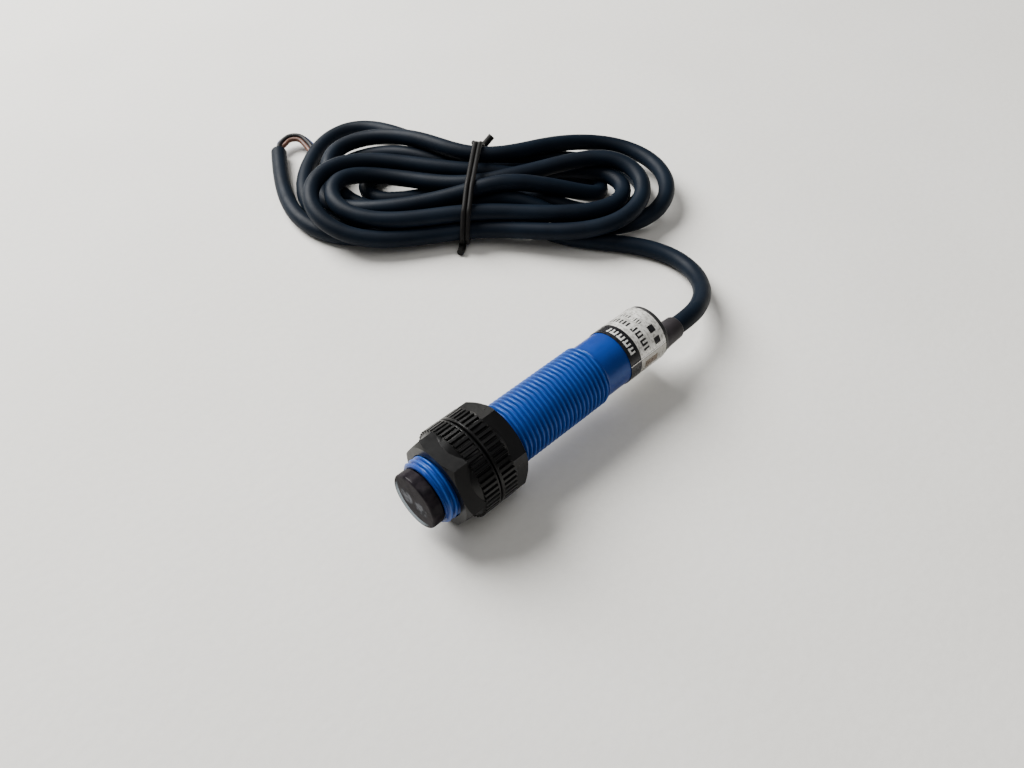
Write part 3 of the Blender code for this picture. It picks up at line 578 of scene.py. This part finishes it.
def green_board():
    """Green solder mask with a pattern of tracks."""
    shade = Shade("green_board", 0.35, Coat_Weight=0.3)
    tracks = shade.tree.nodes.new("ShaderNodeTexBrick")
    tracks.inputs["Scale"].default_value = 1 / (2.4 * MM)
    tracks.inputs["Mortar Size"].default_value = 0.06
    shade.link(shade.place, tracks.inputs["Vector"])
    shade.color(shade.mix(tracks.outputs["Fac"], (0.008, 0.07, 0.025), (0.02, 0.13, 0.05)))
    shade.rough(shade.noise(0.8, 2.0), 0.28, 0.45)
    shade.bump(tracks.outputs["Fac"], 0.03)
    return shade.material


LABEL_START = along_of("label", 0)
BLACK_BAND = (LABEL_START - 0.1, LABEL_START + 2.8)
SEAM_ANGLE = -70.0            # where the label's ends overlap


def foil_label():
    """Brushed silver foil with a black band and plain printed bars, nothing that can be read."""
    shade = Shade("foil_label", 0.3, Metallic=0.35)
    along, angle, _ = shade.cylinder()

    def patch(along_low, along_high, angle_low, angle_high):
        return shade.math('MULTIPLY', shade.between(along, along_low, along_high),
                          shade.between(angle, angle_low, angle_high))

    def bars(along_low, along_high, angle_low, angle_high, pitch, share):
        """A row of short bars, one every pitch degrees, each share of the pitch wide."""
        step = shade.math('FRACT', shade.math('DIVIDE', angle, pitch))
        return shade.math('MULTIPLY', patch(along_low, along_high, angle_low, angle_high),
                          shade.math('LESS_THAN', step, share))

    def joined(marks):
        total = marks[0]
        for mark in marks[1:]:
            total = shade.math('MAXIMUM', total, mark)
        return total

    seam = SEAM_ANGLE
    over_seam = shade.math('GREATER_THAN', angle, seam - 1.5)
    band = shade.math('MULTIPLY', shade.between(along, *BLACK_BAND), over_seam)
    behind_seam = shade.math('LESS_THAN', angle, seam - 4)
    back_band = shade.math('MULTIPLY', shade.between(along, *BLACK_BAND), behind_seam)
    row, second, squares = LABEL_START + 4.0, LABEL_START + 5.7, LABEL_START + 7.0
    dark_print = joined([
        bars(row, row + 1.5, seam + 10, seam + 62, 8.4, 0.5),
        bars(row, row + 0.4, seam + 10, seam + 62, 16.8, 0.75),
        bars(row + 0.1, row + 1.3, seam + 68, seam + 128, 8.4, 0.55),
        bars(second + 0.5, second + 1.5, seam + 58, seam + 76, 5.5, 0.5),
        bars(second + 0.5, second + 1.3, seam + 84, seam + 112, 7.0, 0.45),
        patch(squares, squares + 1.45, seam + 7.0, seam + 21.0),
        patch(squares, squares + 1.45, seam + 31.0, seam + 46.0),
        bars(row, row + 1.6, 95, 150, 8.0, 0.45),
    ])
    tail_patch = patch(LABEL_START + 3.8, LABEL_START + 7.2, seam - 30.0, seam - 12.0)
    light_print = joined([
        bars(LABEL_START + 0.75, LABEL_START + 2.0, seam + 20, seam + 92, 8.3, 0.42),
        bars(LABEL_START + 0.75, LABEL_START + 1.15, seam + 20, seam + 92, 16.6, 0.8),
    ])
    brushed = shade.ramp(shade.noise(0.45, 3.0, (1.0, 0.7, 0.7)), 0.3, 0.7)
    foil = shade.mix(brushed, (0.56, 0.55, 0.515), (0.80, 0.79, 0.755))
    # Painted shade: the foil is darker, in patches, on its side towards +Y.
    patchy = shade.ramp(shade.noise(2.2, 3.0), 0.3, 0.6)
    far_side_shade = shade.math('MULTIPLY', shade.ramp(angle, -40.0, 50.0), patchy)
    foil = shade.mix(shade.math('MULTIPLY', far_side_shade, 0.75), foil, (0.27, 0.265, 0.25))
    # Painted shade: the foil beyond the seam, on the lower side towards -Y, is darker. A painted
    # highlight runs along the overlap's edge, and a dark line marks the joint.
    foil = shade.mix(shade.math('LESS_THAN', angle, seam), foil, (0.40, 0.385, 0.35))
    foil = shade.mix(shade.between(angle, seam - 2.5, seam + 0.5), foil, (0.85, 0.84, 0.8))
    foil = shade.mix(shade.between(angle, seam - 4.0, seam - 2.5), foil, (0.10, 0.095, 0.09))
    body = shade.mix(dark_print, foil, (0.012, 0.012, 0.014))
    body = shade.mix(joined([band, back_band]), body, (0.008, 0.008, 0.01))
    body = shade.mix(tail_patch, body, (0.16, 0.12, 0.085))
    shade.color(shade.mix(shade.math('MULTIPLY', light_print, band), body, (0.72, 0.72, 0.7)))
    shade.rough(brushed, 0.22, 0.42)
    shade.bump(shade.noise(0.5, 3.0), 0.01)
    shade.bump(joined([dark_print, light_print]), 0.01)
    return shade.material


def cable_jacket():
    """Dark blue-grey PVC: satin, with slow changes of tone and pale scuffs."""
    shade = Shade("cable_jacket", 0.5, Specular_IOR_Level=0.08)
    slow = shade.ramp(shade.noise(9.0, 3.0), 0.3, 0.7)
    body = shade.mix(slow, (0.0022, 0.0048, 0.0098), (0.0040, 0.0082, 0.0155))
    scuffs = shade.ramp(shade.noise(1.1, 5.0, roughness=0.7), 0.62, 0.8)
    shade.color(shade.mix(shade.math('MULTIPLY', scuffs, 0.2), body, (0.020, 0.025, 0.032)))
    shade.rough(shade.noise(2.0, 4.0), 0.42, 0.6)
    shade.bump(shade.noise(0.35, 3.0), 0.012)
    return shade.material


def floor_paper():
    """Pale, slightly mottled paper."""
    shade = Shade("floor_paper", 0.85)
    slow = shade.ramp(shade.noise(45.0, 3.0), 0.3, 0.7)
    body = shade.mix(slow, (0.725, 0.712, 0.68), (0.755, 0.742, 0.71))
    fine = shade.ramp(shade.noise(1.3, 4.0), 0.35, 0.65)
    shade.color(shade.mix(shade.math('MULTIPLY', fine, 0.12), body, (0.60, 0.585, 0.56)))
    shade.bump(shade.noise(2.2, 4.0), 0.10, 0.6)
    return shade.material


materials = {
    "blue_barrel": blue_barrel(),
    "smoked_cap": smoked_cap(),
    "clear_lens": lens_plastic(),
    "clear_window": clear_plastic("clear_window", (0.85, 0.85, 0.82)),
    "seal_rubber": moulded("seal_rubber", (0.012, 0.012, 0.012), 0.6),
    "optical_black": moulded("optical_black", (0.006, 0.006, 0.007), 0.4, tone=0.25),
    "red_led": clear_plastic("red_led", (0.75, 0.12, 0.1), 0.1),
    "dark_photodiode": moulded("dark_photodiode", (0.015, 0.012, 0.02), 0.15),
    "tinned_metal": metal("tinned_metal", (0.72, 0.71, 0.68), 0.3),
    "green_board": green_board(),
    "chip_black": moulded("chip_black", (0.015, 0.015, 0.016), 0.5, grain=0.06),
    "tan_capacitor": moulded("tan_capacitor", (0.32, 0.22, 0.12), 0.45),
    "orange_indicator": clear_plastic("orange_indicator", (0.9, 0.35, 0.06), 0.12),
    "blue_trimmer": moulded("blue_trimmer", (0.02, 0.09, 0.3), 0.4),
    "white_adjuster": moulded("white_adjuster", (0.72, 0.71, 0.67), 0.4, tone=0.06),
    "brown_insulation": moulded("brown_insulation", (0.10, 0.035, 0.018), 0.45),
    "black_insulation": moulded("black_insulation", (0.009, 0.009, 0.011), 0.5,
                                Specular_IOR_Level=0.25),
    "blue_insulation": moulded("blue_insulation", (0.012, 0.04, 0.16), 0.42, worn=0.2),
    "copper": metal("copper", (0.50, 0.24, 0.13), 0.4),
    "black_end_cap": moulded("black_end_cap", (0.008, 0.008, 0.009), 0.42, worn=0.15),
    "grey_boot": moulded("grey_boot", (0.020, 0.017, 0.020), 0.5, grain=0.2, depth=0.02, tone=0.3,
                         Specular_IOR_Level=0.3),
    "foil_label": foil_label(),
    "black_nylon": moulded("black_nylon", (0.0028, 0.0028, 0.0031), 0.3, grain=0.14, depth=0.006,
                           Specular_IOR_Level=0.2),
    "cable_jacket": cable_jacket(),
    "black_tie": moulded("black_tie", (0.007, 0.0066, 0.0066), 0.55, grain=0.2, depth=0.02,
                         Specular_IOR_Level=0.12),
}

NODE_MATERIALS = {
    "lens_cap": "smoked_cap", "cap_seal": "seal_rubber", "lens_holder": "optical_black",
    "emitter_lens": "clear_lens", "receiver_lens": "clear_lens", "emitter_led": "red_led",
    "photodiode": "dark_photodiode", "receiver_shield": "tinned_metal", "circuit_board": "green_board",
    "sensing_ic": "chip_black", "output_transistor": "chip_black",
    "smoothing_capacitor": "tan_capacitor", "protection_diode": "chip_black",
    "indicator_led": "orange_indicator", "indicator_window": "clear_window",
    "sensitivity_trimmer": "blue_trimmer", "sensitivity_adjuster": "white_adjuster",
    "brown_core_inside": "brown_insulation", "black_core_inside": "black_insulation",
    "blue_core_inside": "blue_insulation", "cable_clamp": "tinned_metal", "end_cap": "black_end_cap",
    "strain_relief": "grey_boot", "label": "foil_label",
    "front_nut": "black_nylon", "rear_nut": "black_nylon",
}
EDGE_ROUNDING = {  # in mm
    "lens_cap": 0.12, "end_cap": 0.1, "strain_relief": 0.15, "front_nut": 0.09, "rear_nut": 0.09,
    "sensitivity_adjuster": 0.08, "lens_holder": 0.06,
}
WELD_DISTANCE = 0.002
FLAT_ANGLE = 1.0              # facets closer than this in angle join into one face
ROUND_ANGLE = 28.0            # edges sharper than this are rounded
SHARP_ANGLE = 32.0            # on the other nodes, edges sharper than this stay sharp


def finish_node(name):
    """Joins a CAD node's facets, rounds the edges of those listed in EDGE_ROUNDING, and gives it its
    material.
    """
    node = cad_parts[name]
    node.data.materials.clear()
    node.data.materials.append(materials[NODE_MATERIALS[name]])
    if "custom_normal" in node.data.attributes:
        node.data.attributes.remove(node.data.attributes["custom_normal"])
    node.data.polygons.foreach_set("use_smooth", [True] * len(node.data.polygons))
    weld = node.modifiers.new("join", 'WELD')
    weld.merge_threshold = WELD_DISTANCE * MM
    if name in EDGE_ROUNDING:
        flat = node.modifiers.new("flat", 'DECIMATE')
        flat.decimate_type = 'DISSOLVE'
        flat.angle_limit = math.radians(FLAT_ANGLE)
        bevel = node.modifiers.new("round", 'BEVEL')
        bevel.width = EDGE_ROUNDING[name] * MM
        bevel.segments = 2
        bevel.limit_method = 'ANGLE'
        bevel.angle_limit = math.radians(ROUND_ANGLE)
        node.modifiers.new("shading", 'WEIGHTED_NORMAL')
    else:
        split = node.modifiers.new("sharp", 'EDGE_SPLIT')
        split.split_angle = math.radians(SHARP_ANGLE)


for node_name in NODE_MATERIALS:
    finish_node(node_name)


# ---------------------------------------------------------------- pieces
def add_mesh(name, shape, material):
    """A smooth-shaded object of the given shape and material."""
    mesh = bpy.data.meshes.new(name)
    shape.to_mesh(mesh)
    shape.free()
    mesh.materials.append(material)
    mesh.polygons.foreach_set("use_smooth", [True] * len(mesh.polygons))
    piece = bpy.data.objects.new(name, mesh)
    bpy.context.scene.collection.objects.link(piece)
    return piece


def on_axis(along, radius, angle):
    """World place round the sensor's axis, its angle in radians from the top towards +Y."""
    across = radius * MM * math.sin(angle)
    return Vector((LENS_FACE_X + along * MM, across, AXIS_Z + radius * MM * math.cos(angle)))


THREAD_R = 6.0
THREAD_PITCH = 1.0
THREAD_DEPTH = 0.56
THREAD_CREST = 0.18           # share of the pitch that is at the major radius
THREAD_FLANK = 0.5            # share of the pitch that the two flanks take
THREAD_START = along_of("housing", 0)
THREAD_END = 40.6
STEPS_PER_PITCH = 10
REAR_R = 5.5                  # smooth rear of the barrel
REAR_END = along_of("housing", 1)
REAR_STATIONS = [44.0, 47.0, 50.0, 53.0]
REAR_CHAMFER = 0.12
CHAMFER = 0.45
RUN_OUT = 0.8
FRONT_BORE_R = 4.95
FRONT_BORE_END = 6.2
BORE_R = 4.7
REAR_BORE_R = 5.0
REAR_BORE_START = 47.0
ROUND_STEPS = 96
BARREL_SHARP_ANGLE = 50.0


def thread_radius(along, angle):
    """The barrel's surface: a rounded helical thread, chamfered in front and run out at the rear."""
    if along >= THREAD_END + RUN_OUT:
        return REAR_R
    phase = (along / THREAD_PITCH - angle / math.tau) % 1.0
    flank = abs(phase - 0.5) * 2
    wave = min(1.0, max(0.0, (flank - THREAD_CREST) / THREAD_FLANK))
    depth = THREAD_DEPTH * wave * wave * (3 - 2 * wave)
    radius = THREAD_R - depth
    front = THREAD_R - CHAMFER + (along - THREAD_START)
    rear = REAR_R + (THREAD_END + RUN_OUT - along) / RUN_OUT * (THREAD_R - REAR_R)
    return min(radius, front, max(rear, REAR_R))


def make_barrel():
    """The housing with its real thread; the same ends and bores as the CAD node."""
    run_out_end = THREAD_END + RUN_OUT
    thread_steps = int((run_out_end - THREAD_START) * STEPS_PER_PITCH)
    stations = [THREAD_START + i * THREAD_PITCH / STEPS_PER_PITCH for i in range(thread_steps)]
    stations += [run_out_end, run_out_end + 0.3, *REAR_STATIONS, REAR_END - REAR_CHAMFER]
    inner = [
        (REAR_END, REAR_R - REAR_CHAMFER), (REAR_END, REAR_BORE_R + 0.06), (REAR_END - 0.1, REAR_BORE_R),
        (REAR_BORE_START + 0.3, REAR_BORE_R), (REAR_BORE_START, BORE_R),
        (FRONT_BORE_END, BORE_R), (FRONT_BORE_END, FRONT_BORE_R),
        (THREAD_START + 0.1, FRONT_BORE_R), (THREAD_START, FRONT_BORE_R + 0.1),
    ]
    shape = bmesh.new()
    rings = []
    for along in stations:
        ring = []
        for step in range(ROUND_STEPS):
            angle = math.tau * step / ROUND_STEPS
            ring.append(shape.verts.new(on_axis(along, thread_radius(along, angle), angle)))
        rings.append(ring)
    for along, radius in inner:
        rings.append([shape.verts.new(on_axis(along, radius, math.tau * step / ROUND_STEPS))
                      for step in range(ROUND_STEPS)])
    for ring, following in zip(rings, rings[1:] + rings[:1]):
        for step in range(ROUND_STEPS):
            after = (step + 1) % ROUND_STEPS
            shape.faces.new((ring[step], ring[after], following[after], following[step]))
    bmesh.ops.recalc_face_normals(shape, faces=shape.faces)
    barrel = add_mesh("threaded_barrel", shape, materials["blue_barrel"])
    split = barrel.modifiers.new("sharp", 'EDGE_SPLIT')
    split.split_angle = math.radians(BARREL_SHARP_ANGLE)
    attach(barrel, "sensor")
    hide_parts("housing")


def hull(points):
    """Convex hull of (v, height) points, anticlockwise."""
    points = sorted(points)

    def turns_right(start, middle, end):
        return ((middle[0] - start[0]) * (end[1] - start[1])
                - (middle[1] - start[1]) * (end[0] - start[0])) <= 0

    def chain(ordered):
        result = []
        for point in ordered:
            while len(result) > 1 and turns_right(result[-2], result[-1], point):
                result.pop()
            result.append(point)
        return result[:-1]

    return chain(points) + chain(points[::-1])


FIRST_STRAND = 60             # points of the drawn cable that come before the hank
TIE_GAP = 0.03
TIE_SIDES = 16                # of the outline round each strand
TIE_SPACING = 2.05            # between the tie's two turns, in its radii
TIE_STEP = 0.5
TIE_END_R = TIE_R * 1.5


def tie_u(v):
    """The tie's plane leans a little: its u at a place across the hank."""
    return TIE_LEAN * (v - TIE_CENTRE_V)


def strands_at_tie(line):
    """Where the cable crosses the tie's plane: (v, height) of each strand."""
    places = in_hank(line)
    offsets = places[:, 0] - tie_u(places[:, 1])
    crossings = []
    for i in range(FIRST_STRAND, len(places) - 1):
        if offsets[i] * offsets[i + 1] <= 0 and offsets[i] != offsets[i + 1]:
            share = offsets[i] / (offsets[i] - offsets[i + 1])
            crossings.append((places[i] + (places[i + 1] - places[i]) * share)[1:])
    return crossings


def make_tie(line):
    """A plastic-covered wire wound twice round the hank, its two ends standing out."""
    clearance = CABLE_R + TIE_R + TIE_GAP
    around = []
    for v, height in strands_at_tie(line):
        for step in range(TIE_SIDES):
            angle = math.tau * step / TIE_SIDES
            over = height + clearance * math.sin(angle)
            around.append((v + clearance * math.cos(angle), max(TIE_R, over)))
    loop = hull(around)
    farthest = max(range(len(loop)), key=lambda i: loop[i][0] + loop[i][1])
    loop = loop[farthest:] + loop[:farthest]
    points = []
    for i in range(TIE_TURNS * len(loop) + 1):
        v, height = loop[i % len(loop)]
        beside = (i / len(loop) - TIE_TURNS / 2) * TIE_SPACING * TIE_R
        points.append((tie_u(v) - beside, v, height))
    first, last = points[0], points[-1]
    end = [(last[0] - 0.2, last[1] + 1.4, last[2] - 0.4)]
    route = smooth_route([on_hank(point) for point in points + end], TIE_STEP)
    tie = tube("wire_tie", route, TIE_R, 4)
    tie.data.materials.append(materials["black_tie"])
    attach(tie, "sensor")
    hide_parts("cable_tie")
    u, v, height = first
    make_tie_end("wire_tie_end", [(u, v - 0.3, height - 0.2), (u + 0.9, v + 0.5, height + 0.5),
                                  (u + 2.0, v + 1.3, height + 1.5)])
    v = min(loop)[0]
    u = tie_u(v)
    make_tie_end("wire_tie_tail", [(u - 0.6, v + 1.2, TIE_R + 0.2), (u - 0.6, v - 0.2, TIE_R + 0.2),
                                   (u - 0.9, v - 1.9, TIE_R + 0.5)])


def make_tie_end(name, route):
    """One of the tie's ends, a thicker stub that stands out from the hank."""
    end = tube(name, smooth_route([on_hank(point) for point in route], TIE_STEP), TIE_END_R, 4)
    end.data.materials.append(materials["black_tie"])
    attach(end, "sensor")


CORE_R = 0.6
WIRE_R = CORE_R * 0.6         # the bare wire at a core's end
CORE_OFFSET = 0.8             # cores' distance from the middle of the jacket
CORE_INSIDE = 5               # length of a core that is drawn inside the jacket
CORE_STEP = 0.4
# The arch of the cores beyond the cut end, in the hank's u, v and height, and the middle it goes round.
CORE_ARCH = [
    (-48.9, 22.6, 2.3), (-47.3, 24.9, 2.6), (-44.9, 25.1, 2.6), (-42.6, 23.1, 2.1), (-41.0, 20.6, 1.6),
    (-40.2, 18.2, 1.3),
]
CORE_ARCH_CENTRE = (-45.6, 20.5, 0.0)


def make_core(name, color, angle, spread):
    """One core from inside the jacket, over in an arch and back beside the hank.

    Angle is its place in the jacket, and spread is how far outside the arch it runs, in mm.
    """
    end = np.array(TAIL_ROUTE[-1])
    heading = end - np.array(TAIL_ROUTE[-2])
    heading /= np.linalg.norm(heading)
    sideways = np.array([heading[1], -heading[0], 0.0])
    turn = math.radians(angle)
    offset = sideways * CORE_OFFSET * math.cos(turn) + np.array([0, 0, CORE_OFFSET * math.sin(turn)])
    route = [end - heading * CORE_INSIDE + offset, end + offset, end + heading * 0.8 + offset]
    centre = np.array(CORE_ARCH_CENTRE)
    for place in CORE_ARCH:
        place = np.array(place)
        outwards = place - centre
        outwards[2] = 0.0
        outwards /= np.linalg.norm(outwards)
        route.append(place + outwards * spread + np.array([0, 0, offset[2] * 0.5]))
    for point in route:
        point[2] = max(point[2], CORE_R + 0.05)
    line = smooth_route([on_hank(point) for point in route], CORE_STEP)
    core = tube("core_" + name, line[:-2], CORE_R, 4)
    core.data.materials.append(materials[color])
    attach(core, "sensor")
    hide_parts(name + "_core")
    wire = tube("wire_" + name, line[-4:], WIRE_R, 3)
    wire.data.materials.append(materials["copper"])
    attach(wire, "sensor")
    return [core, wire]


def make_cores():
    """The three cores and their bare ends."""
    pieces = make_core("brown", "brown_insulation", 200, -0.55)
    pieces += make_core("black", "black_insulation", 80, 0.3)
    pieces += make_core("blue", "blue_insulation", -40, 0.95)
    return pieces


make_barrel()
make_tie(cable_line)
core_pieces = make_cores()
cable.data.materials.append(materials["cable_jacket"])
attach(cable, "sensor")
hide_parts("cable_lead", "cable_hank", "cable_tail")


# ---------------------------------------------------------------- floor and light
FLOOR_REACH = 1.5             # m
FLOOR_GAP = 0.05
LIGHT_TARGET = (0.02, 0.03, 0.0)  # m, in the world, as are the lights' places


def make_floor():
    """A sheet of paper just below the object."""
    shape = bmesh.new()
    bmesh.ops.create_grid(shape, x_segments=1, y_segments=1, size=FLOOR_REACH)
    floor = add_mesh("floor", shape, floor_paper())
    floor.location.z = -FLOOR_GAP * MM


def area_light(name, place, size, power, color):
    """A round light that faces the target."""
    data = bpy.data.lights.new(name, 'AREA')
    data.shape = 'DISK'
    data.size = size
    data.energy = power
    data.color = color
    light = bpy.data.objects.new(name, data)
    bpy.context.scene.collection.objects.link(light)
    light.location = place
    light.rotation_euler = (Vector(LIGHT_TARGET) - Vector(place)).to_track_quat('-Z', 'Y').to_euler()


def make_light():
    """A window behind the object, a weak light from above, and a pale room."""
    area_light("window", (-0.08, 0.62, 0.52), size=0.6, power=21.0, color=(1.0, 0.99, 0.965))
    area_light("fill", (-0.05, -0.20, 0.75), size=0.7, power=1.6, color=(1.0, 0.99, 0.97))
    world = bpy.data.worlds.new("studio")
    world.use_nodes = True
    background = world.node_tree.nodes["Background"]
    background.inputs["Color"].default_value = (1.0, 0.99, 0.97, 1.0)
    background.inputs["Strength"].default_value = 0.19
    bpy.context.scene.world = world


make_floor()
make_light()
